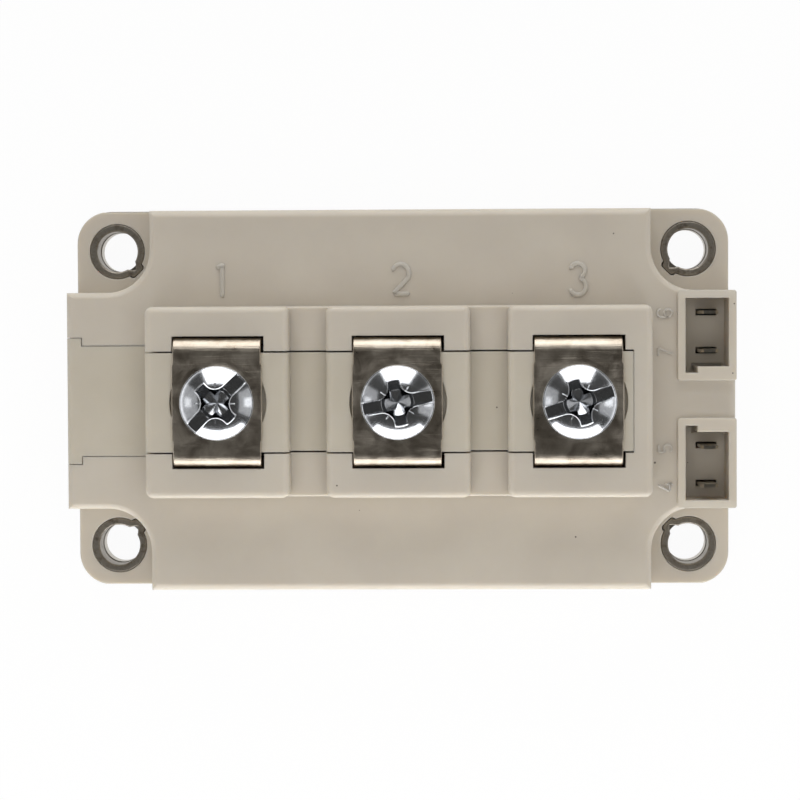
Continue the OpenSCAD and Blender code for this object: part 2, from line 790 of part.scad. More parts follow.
module igbt_chips_at(side) {
    color("#6d6f78") for (x = [chip_x0, chip_x1], row = [-1, 1])
        translate([side * x, row * chip_y]) slab(igbt_side, igbt_side, copper_top, chip_top);
}

module diode_chips_at(side) {
    color("#82848c") for (row = [-1, 1])
        translate([side * chip_x2, row * chip_y]) slab(diode_side, diode_side, copper_top, chip_top);
}

// Half loop of wire over the Y axis, standing on its two ends.
module wire_loop(r) {
    rotate([90, 0, 90]) rotate_extrude(angle = 180) translate([r, 0]) circle(wire_d / 2, $fn = 16);
}

module bond_wires_at(side) {
    color("#c8c9c9") for (x = [chip_x0, chip_x1, chip_x2], k = [-1 : 1], row = [0, 1])
        mirror([0, row, 0]) translate([side * x + k * wire_pitch, wire_y, 0]) {
            translate([0, 0, chip_top]) wire_loop(wire_loop_r);
            translate([0, -wire_loop_r, copper_top]) cylinder(h = chip_t, d = wire_d, $fn = 16);
        }
}

module link_wires() {
    color("#c8c9c9") for (n = [0 : 2], row = [0, 1])
        mirror([0, row, 0]) translate([0, link_y0 + n * wire_pitch, copper_top])
            rotate(90) wire_loop(link_loop_r);
}

module gel() {
    leg_l = foot_w + 2 * gel_gap;
    color("#d8dfe0") difference() {
        translate([0, 0, plate_t]) linear_extrude(gel_h) hollow_plan();
        slab(2 * (substrate_x1 + pocket_gap), substrate_w + 2 * pocket_gap, plate_t - over, pocket_z);
        for (x = [-pitch, foot_x2, pitch], side = [-1, 1])
            translate([x - strap_shift, side * (strap_leg_y + strap_t / 2)])
                slab(leg_l, strap_t + 2 * gel_gap, plate_t, gel_top + over);
        for (pad = [
            [pad_x4, -pad_y_far], [pad_x4, -pad_y_near], [pad_x6, pad_y_far], [pad_x7, pad_y_near]])
            translate(pad) slab(lead_leg_l + 2 * gel_gap, tab_t + 2 * gel_gap, plate_t, gel_top + over);
    }
}

baseplate();
housing();
nut_carrier();
terminal_at(-1, 0);  // terminal_1
terminal_at(0, foot_x2);  // terminal_2
terminal_at(1, 0);  // terminal_3
nut_at(-1);  // nut_1
nut_at(0);  // nut_2
nut_at(1);  // nut_3
screw_at(-1, slot_angles[0]);  // screw_1
screw_at(0, slot_angles[1]);  // screw_2
screw_at(1, slot_angles[2]);  // screw_3
sleeve_at(-1, 1);  // sleeve_1
sleeve_at(1, 1);  // sleeve_2
sleeve_at(-1, -1);  // sleeve_3
sleeve_at(1, -1);  // sleeve_4
tab_at(-tab_y_far, -tab_y_far, pad_x4, -pad_y_far);  // tab_4
tab_at(-tab_y_near, -pad_y_near, pad_x4, -pad_y_near);  // tab_5
tab_at(tab_y_far, tab_y_far, pad_x6, pad_y_far);  // tab_6
tab_at(tab_y_near, pad_y_near, pad_x7, pad_y_near);  // tab_7
solder_at(-1);  // solder_1
solder_at(1);  // solder_2
bottom_copper_at(-1);  // bottom_copper_1
bottom_copper_at(1);  // bottom_copper_2
ceramic_at(-1);  // ceramic_1
ceramic_at(1);  // ceramic_2
top_copper_at(-1);  // top_copper_1
top_copper_at(1);  // top_copper_2
igbt_chips_at(-1);  // igbt_chips_1
igbt_chips_at(1);  // igbt_chips_2
diode_chips_at(-1);  // diode_chips_1
diode_chips_at(1);  // diode_chips_2
bond_wires_at(-1);  // bond_wires_1
bond_wires_at(1);  // bond_wires_2
link_wires();
gel();
sealant();
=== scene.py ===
import bpy
import bmesh
import math
import numpy as np
from mathutils import Matrix, Vector


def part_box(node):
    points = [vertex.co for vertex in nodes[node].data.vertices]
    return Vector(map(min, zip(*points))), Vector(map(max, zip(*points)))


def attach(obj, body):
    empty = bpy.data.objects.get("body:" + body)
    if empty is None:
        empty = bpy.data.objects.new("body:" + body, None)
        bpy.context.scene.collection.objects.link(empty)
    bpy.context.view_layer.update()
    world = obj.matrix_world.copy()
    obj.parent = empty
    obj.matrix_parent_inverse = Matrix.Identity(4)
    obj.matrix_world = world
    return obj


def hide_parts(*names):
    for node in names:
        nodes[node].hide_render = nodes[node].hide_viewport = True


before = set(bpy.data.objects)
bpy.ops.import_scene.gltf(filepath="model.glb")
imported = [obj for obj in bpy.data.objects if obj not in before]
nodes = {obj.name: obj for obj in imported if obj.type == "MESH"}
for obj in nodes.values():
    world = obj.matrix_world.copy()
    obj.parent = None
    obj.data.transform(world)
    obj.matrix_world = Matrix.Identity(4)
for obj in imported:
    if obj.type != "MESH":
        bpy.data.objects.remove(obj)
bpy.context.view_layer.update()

scene = bpy.context.scene
scene.view_settings.view_transform = "Standard"
print("frame loaded:", len(nodes), "nodes")


# Camera: looks almost straight down, from a little right of the middle.
cameraSetup = {
    "place": (0.01285, 0.01383, 0.43298),  # metres
    "target": (0.00001, 0.00002, 0.0205),
    "roll": -0.275,  # degrees
    "lens": 117.38,  # mm on a 36 mm sensor
}


def makeCamera():
    data = bpy.data.cameras.new("camera")
    data.lens = cameraSetup["lens"]
    data.sensor_width = 36
    data.clip_start, data.clip_end = 0.01, 20
    camera = bpy.data.objects.new("camera", data)
    scene.collection.objects.link(camera)
    place = Vector(cameraSetup["place"])
    back = (place - Vector(cameraSetup["target"])).normalized()
    right = Vector((0, 1, 0)).cross(back).normalized()
    turn = Matrix((right, back.cross(right), back)).transposed()
    turn = turn @ Matrix.Rotation(math.radians(cameraSetup["roll"]), 3, "Z")
    camera.matrix_world = Matrix.Translation(place) @ turn.to_4x4()
    scene.camera = camera


# Materials.

def colour(code):
    # sRGB hex to linear, channel by channel.
    parts = [int(code[i:i + 2], 16) / 255 for i in (0, 2, 4)]
    return [p / 12.92 if p <= 0.04045 else ((p + 0.055) / 1.055) ** 2.4 for p in parts] + [1.0]


def addNode(tree, kind, inputs=None, **settings):
    # Adds one node; an input is a value, or an output socket that is linked to it.
    node = tree.nodes.new("ShaderNode" + kind)
    for name, value in settings.items():
        setattr(node, name, value)
    for name, value in (inputs or {}).items():
        if isinstance(value, bpy.types.NodeSocket):
            tree.links.new(value, node.inputs[name])
        else:
            node.inputs[name].default_value = value
    return node


def newMaterial(name):
    material = bpy.data.materials.new(name)
    material.use_nodes = True
    tree = material.node_tree
    tree.nodes.clear()
    place = addNode(tree, "TexCoord").outputs["Object"]
    return material, tree, place


def finishMaterial(tree, shader):
    addNode(tree, "OutputMaterial", {"Surface": shader})


def spread(tree, factor, low, high, mode="LINEAR"):
    # Takes a 0 to 1 pattern to the range low to high.
    return addNode(tree, "MapRange", {"Value": factor, "To Min": low, "To Max": high},
                   interpolation_type=mode).outputs["Result"]


def mixColours(tree, factor, first, second):
    node = addNode(tree, "Mix", data_type="RGBA")
    for socket, value in ((node.inputs["Factor"], factor), (node.inputs[6], first), (node.inputs[7], second)):
        if isinstance(value, bpy.types.NodeSocket):
            tree.links.new(value, socket)
        else:
            socket.default_value = value
    return node.outputs[2]


mouldedPlastic = {
    "cloudSize": 0.011,  # metres, slow changes of tone
    "grainSize": 0.00035,  # spark-eroded grain, drawn coarser than the real 0.05 mm so that it shows
    "speckGap": 0.0031,  # one cell of the speck pattern
    "speckSize": 0.0002,
    "edgeRadius": 0.0003,
    "scatter": (0.0022, 0.0019, 0.0014),  # how far light travels inside, red to blue
}


def makePlastic(name, light, dark, speck):
    # Glass-filled polyester, injection moulded: matt ivory with faint clouds, fine grain and a few specks.
    material, tree, place = newMaterial(name)
    size = mouldedPlastic
    clouds = addNode(tree, "TexNoise", {"Vector": place, "Scale": 1 / size["cloudSize"], "Detail": 4.0,
                                        "Roughness": 0.6}).outputs["Fac"]
    base = mixColours(tree, spread(tree, clouds, 0.0, 1.0, "SMOOTHSTEP"), colour(dark), colour(light))
    cells = addNode(tree, "TexVoronoi", {"Vector": place, "Scale": 1 / size["speckGap"], "Randomness": 1.0})
    reach = addNode(tree, "SeparateColor", {"Color": cells.outputs["Color"]}).outputs["Red"]
    # Only the cells with a high random number get a speck, and a higher number makes it larger.
    limit = addNode(tree, "MapRange", {"Value": reach, "From Min": 0.6, "From Max": 1.0, "To Min": 0.0,
                                       "To Max": size["speckSize"] / size["speckGap"]}).outputs["Result"]
    inside = addNode(tree, "Math", {0: limit, 1: cells.outputs["Distance"]}, operation="SUBTRACT").outputs[0]
    dot = addNode(tree, "MapRange", {"Value": inside, "From Min": 0.0, "From Max": 0.012}).outputs["Result"]
    base = mixColours(tree, dot, base, colour(speck))
    grain = addNode(tree, "TexNoise", {"Vector": place, "Scale": 1 / size["grainSize"],
                                       "Detail": 2.0}).outputs["Fac"]
    soft = addNode(tree, "Bevel", {"Radius": size["edgeRadius"]}, samples=6).outputs["Normal"]
    bump = addNode(tree, "Bump", {"Height": grain, "Strength": 0.06, "Distance": 0.0001, "Normal": soft})
    shader = addNode(tree, "BsdfPrincipled", {
        "Base Color": base, "Roughness": spread(tree, grain, 0.42, 0.54), "IOR": 1.52,
        "Subsurface Weight": 0.4, "Subsurface Radius": size["scatter"], "Subsurface Scale": 1.0,
        "Normal": bump.outputs["Normal"]})
    finishMaterial(tree, shader.outputs[0])
    return material


rolledNickel = {
    "lineLength": 0.009, "lineWidth": 0.00011,  # rolling lines, drawn coarser than the real 0.02 mm
    "lineDepth": 0.00005,
    "smudgeSize": 0.0035,
    "dentRadius": 0.0064, "dentWidth": 0.0007, "dentDepth": 0.00007,  # ring pressed round each screw
    "pitch": 0.028,
}


def pressedRing(tree, place, size):
    # A soft ring round each terminal's centre: distance from the nearest centre, through a bell curve.
    parts = addNode(tree, "SeparateXYZ", {"Vector": place}).outputs
    side = addNode(tree, "Math", {0: parts["X"], 1: size["pitch"] / 2, 2: -size["pitch"] / 2},
                   operation="WRAP").outputs[0]
    flat = addNode(tree, "CombineXYZ", {"X": side, "Y": parts["Y"]}).outputs[0]
    reach = addNode(tree, "VectorMath", {0: flat}, operation="LENGTH").outputs["Value"]
    off = addNode(tree, "Math", {0: reach, 1: size["dentRadius"]}, operation="SUBTRACT").outputs[0]
    off = addNode(tree, "Math", {0: off, 1: size["dentWidth"]}, operation="DIVIDE").outputs[0]
    square = addNode(tree, "Math", {0: off, 1: off}, operation="MULTIPLY").outputs[0]
    ring = addNode(tree, "Math", {0: math.e, 1: addNode(tree, "Math", {0: square, 1: -1.0},
                                                        operation="MULTIPLY").outputs[0]}, operation="POWER")
    return ring.outputs[0]


def makeNickelStrip(name, light, dark, roughLow, roughHigh, pressed=False):
    # Nickel-plated copper strip, rolled: fine lines along X spread the light across them, with dull smudges.
    material, tree, place = newMaterial(name)
    size = rolledNickel
    narrow = 1 / size["lineWidth"]
    stretched = addNode(tree, "Mapping", {
        "Vector": place, "Scale": (1 / size["lineLength"], narrow, narrow)}).outputs[0]
    lines = addNode(tree, "TexNoise", {"Vector": stretched, "Scale": 1.0, "Detail": 3.0}).outputs["Fac"]
    smudge = addNode(tree, "TexNoise", {"Vector": place, "Scale": 1 / size["smudgeSize"], "Detail": 5.0,
                                        "Roughness": 0.62, "Distortion": 0.6}).outputs["Fac"]
    worn = addNode(tree, "MapRange", {"Value": smudge, "From Min": 0.36, "From Max": 0.64}).outputs["Result"]
    base = mixColours(tree, worn, colour(dark), colour(light))
    streak = mixColours(tree, 0.7, lines, smudge)
    rough = addNode(tree, "MapRange", {"Value": streak, "From Min": 0.35, "From Max": 0.65,
                                       "To Min": roughLow, "To Max": roughHigh}).outputs["Result"]
    soft = addNode(tree, "Bevel", {"Radius": 0.00012}, samples=4).outputs["Normal"]
    bump = addNode(tree, "Bump", {"Height": lines, "Strength": 0.8, "Distance": size["lineDepth"],
                                  "Normal": soft})
    if pressed:
        bump = addNode(tree, "Bump", {"Height": pressedRing(tree, place, size), "Strength": 1.0,
                                      "Distance": size["dentDepth"], "Normal": bump.outputs["Normal"]})
    shader = addNode(tree, "BsdfPrincipled", {
        "Base Color": base, "Metallic": 1.0, "Roughness": rough, "Normal": bump.outputs["Normal"]})
    finishMaterial(tree, shader.outputs[0])
    return material


turnedZinc = {"grainSize": 0.00022, "pitSize": 0.00045}


def makeZincScrew(name):
    # Steel screw, bright zinc plated: near-mirror with a fine crystalline ripple.
    material, tree, place = newMaterial(name)
    size = turnedZinc
    ripple = addNode(tree, "TexNoise", {"Vector": place, "Scale": 1 / size["pitSize"], "Detail": 3.0,
                                        "Roughness": 0.55}).outputs["Fac"]
    fine = addNode(tree, "TexNoise", {"Vector": place, "Scale": 1 / size["grainSize"],
                                      "Detail": 2.0}).outputs["Fac"]
    base = mixColours(tree, spread(tree, ripple, 0.0, 1.0, "SMOOTHSTEP"),
                      colour("c4c7ce"), colour("dfe1e3"))
    bump = addNode(tree, "Bump", {"Height": ripple, "Strength": 0.12, "Distance": 0.00003})
    bump = addNode(tree, "Bump", {"Height": fine, "Strength": 0.08, "Distance": 0.00002,
                                  "Normal": bump.outputs["Normal"]})
    shader = addNode(tree, "BsdfPrincipled", {
        "Base Color": base, "Metallic": 1.0, "Roughness": spread(tree, fine, 0.1, 0.22),
        "Normal": bump.outputs["Normal"]})
    finishMaterial(tree, shader.outputs[0])
    return material


dullSteel = {"stainSize": 0.0016, "grainSize": 0.0003}


def makeDullSteel(name, light, dark, stain):
    # Steel strip rolled to a sleeve, left bare: dull grey with patches of brown stain.
    material, tree, place = newMaterial(name)
    size = dullSteel
    stains = addNode(tree, "TexNoise", {"Vector": place, "Scale": 1 / size["stainSize"], "Detail": 5.0,
                                        "Roughness": 0.65}).outputs["Fac"]
    grain = addNode(tree, "TexNoise", {"Vector": place, "Scale": 1 / size["grainSize"],
                                       "Detail": 2.0}).outputs["Fac"]
    base = mixColours(tree, grain, colour(dark), colour(light))
    spot = addNode(tree, "MapRange", {"Value": stains, "From Min": 0.52, "From Max": 0.7}).outputs["Result"]
    base = mixColours(tree, addNode(tree, "Math", {0: spot, 1: 0.7}, operation="MULTIPLY").outputs[0],
                      base, colour(stain))
    bump = addNode(tree, "Bump", {"Height": stains, "Strength": 0.35, "Distance": 0.00008})
    shader = addNode(tree, "BsdfPrincipled", {
        "Base Color": base, "Metallic": 0.85, "Roughness": spread(tree, stains, 0.3, 0.55),
        "Normal": bump.outputs["Normal"]})
    finishMaterial(tree, shader.outputs[0])
    return material


def makePlain(name, light, dark, patternSize, metallic, roughLow, roughHigh, bumpDepth=0.00002, **sockets):
    # For the sealed pieces: two close tones and a roughness that follow one noise of the given size.
    material, tree, place = newMaterial(name)
    noise = addNode(tree, "TexNoise", {"Vector": place, "Scale": 1 / patternSize,
                                       "Detail": 4.0}).outputs["Fac"]
    bump = addNode(tree, "Bump", {"Height": noise, "Strength": 0.3, "Distance": bumpDepth})
    inputs = {"Base Color": mixColours(tree, noise, colour(dark), colour(light)), "Metallic": metallic,
              "Roughness": spread(tree, noise, roughLow, roughHigh), "Normal": bump.outputs["Normal"]}
    inputs.update({key.replace("_", " "): value for key, value in sockets.items()})
    shader = addNode(tree, "BsdfPrincipled", inputs)
    finishMaterial(tree, shader.outputs[0])
    return material


def makeMaterials():
    return {
        "housing_plastic": makePlastic("ivoryPolyesterMoulded", "cbc3b5", "c2b9ac", "6a6157"),
        "carrier_plastic": makePlastic("ivoryPolyesterCarrierMoulded", "c8c0b1", "beb6a6", "6a6157"),
        "terminal_metal": makeNickelStrip("nickelStripRolled", "d9cfc0", "b3a797", 0.26, 0.5, pressed=True),
        "baseplate_metal": makeNickelStrip("nickelPlateRolled", "cdc8bf", "b2ada3", 0.3, 0.5),
        "screw_metal": makeZincScrew("zincPlatedSteelTurned"),
        "nut_metal": makePlain("zincPlatedSteelPressed", "c4c5c6", "a5a6a7", 0.0008, 1.0, 0.28, 0.42),
        "sleeve_steel": makeDullSteel("bareSteelRolled", "b0a99e", "8d867b", "5b4f42"),
        "tab_metal": makePlain("tinPlatedBrassStamped", "cfc9bd", "b3ab9c", 0.0006, 1.0, 0.26, 0.42),
        "solder": makePlain("tinSolderReflowed", "a3a5a8", "85878a", 0.0012, 1.0, 0.35, 0.55),
        "track_copper": makePlain("copperEtched", "c98a62", "b1704a", 0.0015, 1.0, 0.3, 0.5),
        "ceramic": makePlain("aluminaFired", "efece4", "e2ded3", 0.0009, 0.0, 0.45, 0.6),
        "silicon": makePlain("siliconPolished", "6f7280", "5a5d6a", 0.002, 0.6, 0.08, 0.16),
        "wire_aluminium": makePlain("aluminiumDrawn", "d6d7d8", "bfc0c2", 0.0004, 1.0, 0.2, 0.34),
        "silicone_gel": makePlain("siliconeGelCured", "eef3f4", "e2eaeb", 0.006, 0.0, 0.04, 0.1,
                                  Transmission_Weight=0.85, IOR=1.41),
        "sealant": makePlain("siliconeSealantCured", "47453f", "383733", 0.0008, 0.0, 0.4, 0.6),
    }


# Surfaces.

def ringsToMesh(name, grids, sharpAngle=40):
    # Each grid is rows of points in mm. A row is a closed ring, neighbouring rows are joined by quads, and
    # the two end rows are joined to their own middle point.
    points, faces, first = [], [], 0
    for grid in grids:
        rows, columns = grid.shape[:2]
        index = first + np.arange(rows * columns).reshape(rows, columns)
        after = np.roll(index, -1, axis=1)
        faces += np.stack([index[:-1], after[:-1], after[1:], index[1:]], axis=-1).reshape(-1, 4).tolist()
        middle = first + rows * columns
        faces += np.stack([after[0], index[0], np.full(columns, middle)], axis=-1).tolist()
        faces += np.stack([index[-1], after[-1], np.full(columns, middle + 1)], axis=-1).tolist()
        points += [grid.reshape(-1, 3), grid[:1].mean(axis=1), grid[-1:].mean(axis=1)]
        first = middle + 2
    return pointsToMesh(name, np.vstack(points), faces, sharpAngle)


def pointsToMesh(name, points, faces, sharpAngle):
    mesh = bpy.data.meshes.new(name)
    mesh.from_pydata((points / 1000).tolist(), [], faces)
    shape = bmesh.new()
    shape.from_mesh(mesh)
    bmesh.ops.recalc_face_normals(shape, faces=shape.faces)
    shape.to_mesh(mesh)
    shape.free()
    mesh.shade_smooth()
    mesh.set_sharp_from_angle(angle=math.radians(sharpAngle))
    return mesh


def placePiece(name, mesh, material, slot, *stoodFor):
    piece = bpy.data.objects.new(name, mesh)
    scene.collection.objects.link(piece)
    mesh.materials.append(material)
    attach(piece, "root")
    if stoodFor:
        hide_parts(*stoodFor)
    return piece


def step(value, low, high):
    # 0 below low, 1 above high, and a smooth S between them.
    t = np.clip((value - low) / (high - low), 0, 1)
    return t * t * (3 - 2 * t)


# Raised numerals beside the terminals and the control tabs.
numerals = {
    "surface": 20.5,  # top of the low body, mm
    "large": {"width": 0.72, "rise": 0.3},
    "small": {"width": 0.38, "rise": 0.24},
    "spacing": 0.07,  # along a stroke
}


def line(*points):
    # Straight runs between the points, evenly spaced.
    points = np.array(points, float)
    runs = []
    for start, end in zip(points[:-1], points[1:]):
        count = max(2, int(np.hypot(*(end - start)) / numerals["spacing"]))
        runs.append(start + (end - start) * np.linspace(0, 1, count)[:, None])
    return np.vstack(runs)


def arc(x, y, radiusX, radiusY, start, end):
    # Centre plus radius times cosine and sine, from the start angle to the end angle in degrees.
    count = max(8, int(abs(end - start) / 57.3 * radiusX / numerals["spacing"]))
    angle = np.radians(np.linspace(start, end, count))
    return np.stack([x + radiusX * np.cos(angle), y + radiusY * np.sin(angle)], axis=-1)


def bead(stroke, width, rise, surface):
    # A flattened half round carried along the stroke: root of cosine across, root of sine upwards. It shrinks
    # at both ends as the root of one less the square of the rest.
    keep = np.append(True, np.hypot(*np.diff(stroke, axis=0).T) > 1e-4)
    stroke = stroke[keep]
    tangent = np.gradient(stroke, axis=0)
    tangent /= np.hypot(*tangent.T)[:, None]
    across = np.stack([-tangent[:, 1], tangent[:, 0]], axis=-1)
    run = np.append(0, np.cumsum(np.hypot(*np.diff(stroke, axis=0).T)))
    rest = 1 - np.clip(np.minimum(run, run[-1] - run) / (width / 2), 0.02, 1)
    full = np.sqrt(1 - rest ** 2)[:, None]
    turn = np.linspace(0, math.pi, 15)
    wide = np.sign(np.cos(turn)) * np.sqrt(np.abs(np.cos(turn)))
    flat = stroke[:, None, :] + across[:, None, :] * (wide * width / 2 * full)[..., None]
    height = surface - 0.01 + np.sqrt(np.abs(np.sin(turn))) * rise * full
    return np.concatenate([flat, height[..., None]], axis=-1)


def placeStroke(stroke, x, y, turned):
    return np.stack([x - stroke[:, 1], y + stroke[:, 0]], axis=-1) if turned else stroke + (x, y)


def makeNumerals(material):
    large, small = numerals["large"], numerals["small"]
    shapes = {
        "1": (large, (-29.03, 16.35), False, [
            line((0.98, 5.05), (0.98, 0)),
            np.vstack([line((1.45, 5.0), (1.1, 5.08)), arc(0.98, 3.98, 1.0, 1.1, 84, 150)])]),
        "2": (large, (-1.0, 16.82), False, [
            np.vstack([arc(1.21, 3.17, 1.3, 1.55, 165, -25), line((2.33, 2.45), (0.04, 0))]),
            line((0.04, 0), (2.63, 0))]),
        "3": (large, (26.9, 16.54), False, [
            arc(1.25, 3.82, 1.12, 1.12, 175, -72), arc(1.25, 1.33, 1.28, 1.33, 84, -165)]),
        "6": (small, (42.97, 12.95), True, [
            np.vstack([arc(0.62, 1.72, 0.62, 0.62, 0, 180), line((0, 1.72), (0, 0.62))]),
            arc(0.62, 0.62, 0.62, 0.62, 180, -180)]),
        "7": (small, (43.05, 6.82), True, [line((0, 2.29), (1.25, 2.29)), line((1.25, 2.29), (0.32, 0))]),
        "5": (small, (42.9, -8.35), True, [
            line((1.25, 2.12), (0, 2.12)), line((0, 2.12), (0, 1.1)),
            arc(0.57, 0.63, 0.63, 0.63, 150, -150)]),
        "4": (small, (43.06, -14.6), True, [
            line((1.05, 2.36), (0, 0.46)), line((0, 0.46), (1.51, 0.46)), line((1.18, 1.31), (1.18, 0))]),
    }
    for digit, (size, (x, y), turned, strokes) in shapes.items():
        grids = [bead(placeStroke(stroke, x, y, turned), size["width"], size["rise"], numerals["surface"])
                 for stroke in strokes]
        placePiece("numeral_" + digit, ringsToMesh("numeral_" + digit, grids), material, "housing_plastic")


# Screws: crowned heads with a slot and a cross recess.
screw = {
    "headRadius": 5.8, "crownRadius": 8, "headHeight": 3.8, "rimRound": 0.22,
    "slotWidth": 1.9, "slotDepth": 2.1,
    "armWidth": 1.74, "armReach": 3.55, "armSlope": 1.27,
    "wallEnd": 2.0, "coneSlope": 0.5,  # inside this radius the steep wall turns into a shallow cone
    "cornerFillet": 2.0,
    "tickFrom": 2.1, "tickTo": 3.2, "tickWidth": 0.09, "tickDepth": 0.08,
    "burrRise": 0.05, "burrWidth": 0.06,
    "sinkWall": 0.08,  # width of the walls of slot and recess
    "shankRadius": 3.0, "tipChamfer": 0.6,
    "angles": {"screw_1": 45, "screw_2": 11, "screw_3": 18},  # degrees from +X
    "rings": 150, "turns": 560,
}


def crownHeight(x, y):
    # Ball cap: the height falls as the crown radius less the root of its square less the distance squared.
    size = screw
    return size["headHeight"] - size["crownRadius"] + np.sqrt(size["crownRadius"] ** 2 - x * x - y * y)


def recessHeight(x, y):
    # Lowest of the crown, the slot's flat floor and the cross recess, a steep cone inside a cross with
    # filleted corners.
    size = screw
    crown = crownHeight(x, y)
    ax, ay, reach = np.abs(x), np.abs(y), np.hypot(x, y)

    def sink(distance, floor):
        # A narrow wall joins the floor inside a shape to the crown outside it.
        return crown - np.maximum(crown - floor, 0) * (1 - step(distance, -size["sinkWall"], 0))

    slot = ay - size["slotWidth"] / 2
    floor = np.full_like(x, size["headHeight"] - size["slotDepth"])
    height = sink(slot, floor)
    arm = ax - size["armWidth"] / 2
    fillet = size["cornerFillet"]
    corner = fillet - np.hypot(arm - fillet, slot - fillet)
    atCorner = (arm < fillet) & (slot < fillet) & (arm > 0) & (slot > 0)
    cross = np.where(atCorner, corner, np.minimum(arm, slot))
    cross = np.maximum(cross, reach - size["armReach"])
    rim = crownHeight(size["armReach"], 0)
    wallLow = rim - (size["armReach"] - size["wallEnd"]) * size["armSlope"]
    cone = np.where(reach > size["wallEnd"], rim - (size["armReach"] - reach) * size["armSlope"],
                    wallLow - (size["wallEnd"] - reach) * size["coneSlope"])
    height = np.minimum(height, sink(cross, cone))
    # Thin ticks on the diagonals, outwards from the filleted corners.
    along, off = (ax + ay) / math.sqrt(2), np.abs(ax - ay) / math.sqrt(2)
    tick = (1 - step(off, 0, size["tickWidth"])) * (1 - step(along, size["tickTo"] - 0.3, size["tickTo"])) \
        * (along > size["tickFrom"])
    height = np.minimum(height, crown - size["tickDepth"] * tick)
    # A burr stands up just outside the edges of slot and recess.
    edge = np.minimum(slot, cross) - size["burrWidth"]
    return height + size["burrRise"] * np.exp(-(edge / size["burrWidth"]) ** 2)


def screwRings(centreX, faceZ, tipZ, angle):
    # Rings of growing radius over the head, then round its rim, under it, and down to the chamfered tip.
    size = screw
    edge = size["headRadius"] - size["rimRound"]
    radius = np.concatenate([[0.02], np.linspace(0.06, edge, size["rings"])])
    turn = np.linspace(0, 2 * math.pi, size["turns"], endpoint=False)
    r, t = np.meshgrid(radius, turn, indexing="ij")
    head = np.stack([r * np.cos(t), r * np.sin(t), recessHeight(r * np.cos(t), r * np.sin(t))], axis=-1)
    drop = np.radians(np.linspace(35, 90, 7))  # the rounding starts at the crown's own slope
    rim = [(edge - size["rimRound"] * math.sin(drop[0]) + size["rimRound"] * np.sin(a) + 0.08,
            crownHeight(edge, 0.0) - size["rimRound"] * (math.cos(drop[0]) - np.cos(a))) for a in drop]
    top = rim[-1][0]
    below = [(top, 0.12), (top - 0.04, 0.03), (top - 0.14, 0.0), (size["shankRadius"], 0.0),
             (size["shankRadius"], tipZ - faceZ + size["tipChamfer"]),
             (size["shankRadius"] - size["tipChamfer"], tipZ - faceZ)]
    profile = np.array(rim + below)
    sides = np.stack([np.outer(profile[:, 0], np.cos(turn)), np.outer(profile[:, 0], np.sin(turn)),
                      np.outer(profile[:, 1], np.ones_like(turn))], axis=-1)
    grid = np.concatenate([head, sides])
    spin = math.radians(angle)
    x, y, z = np.moveaxis(grid, -1, 0)
    return np.stack([centreX + x * math.cos(spin) - y * math.sin(spin),
                     x * math.sin(spin) + y * math.cos(spin), z + faceZ], axis=-1)


def makeScrews(material):
    for name, angle in screw["angles"].items():
        low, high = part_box(name)
        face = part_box(name.replace("screw", "terminal"))[1].z * 1000
        rings = screwRings((low.x + high.x) * 500, face, low.z * 1000, angle)
        mesh = ringsToMesh(name + "_turned", [rings], 55)
        placePiece(name + "_turned", mesh, material, "screw_metal", name)


# Terminals: one strip of sheet, bent down at both ends, with a hole for the screw.
strap = {
    "sheet": 1.0, "bendRadius": 2.2, "edgeRadius": 0.16,
    "faceHalf": 7.0, "bendHalf": 6.825, "legHalf": 2.0,
    "faceEnd": 5.8, "bendStart": 6.1,  # along Y, where the face narrows
    "neck": 13.3, "footInner": 6.65, "footBend": 0.75,
    "holeRadius": 3.3, "holeSides": 96, "shift": -0.1,
    "footShift": {"terminal_1": 0, "terminal_2": -4.6, "terminal_3": 0},  # terminal 2's feet are off centre
}


def strapPath(halfLength, topZ, footZ):
    # Half the strip's middle line from the centre outwards: flat, a quarter circle, the leg, a tight quarter
    # circle and the foot. Each entry is y, z and the direction's angle below the horizontal.
    size = strap
    half = size["sheet"] / 2
    bend = size["bendRadius"] - half
    tight = size["footBend"]
    flatEnd = halfLength - size["bendRadius"]
    y = [np.linspace(0, size["faceEnd"], 24), np.linspace(size["faceEnd"], size["bendStart"], 8)[1:],
         np.linspace(size["bendStart"], flatEnd, 6)[1:]]
    flat = np.concatenate(y)
    angle = np.radians(np.linspace(0, 90, 19))[1:]
    legY = halfLength - half
    bendZ = topZ - half - bend * (1 - np.cos(angle))
    bendTop = np.stack([flatEnd + bend * np.sin(angle), bendZ, angle], axis=-1)
    legTop, legEnd = topZ - size["bendRadius"], footZ + half + tight
    legZ = np.concatenate([np.linspace(legTop, size["neck"], 12)[1:], [size["neck"] - 0.05],
                           np.linspace(size["neck"] - 0.3, legEnd, 8)])
    leg = np.stack([np.full_like(legZ, legY), legZ, np.full_like(legZ, math.pi / 2)], axis=-1)
    back = np.radians(np.linspace(90, 180, 9))[1:]
    heel = np.stack([legY - tight + tight * np.sin(back), legEnd + tight * np.cos(back), back], axis=-1)
    foot = np.array([[size["footInner"], footZ + half, math.pi]])
    top = np.stack([flat, np.full_like(flat, topZ - half), np.zeros_like(flat)], axis=-1)
    return np.vstack([top, bendTop, leg, heel, foot])


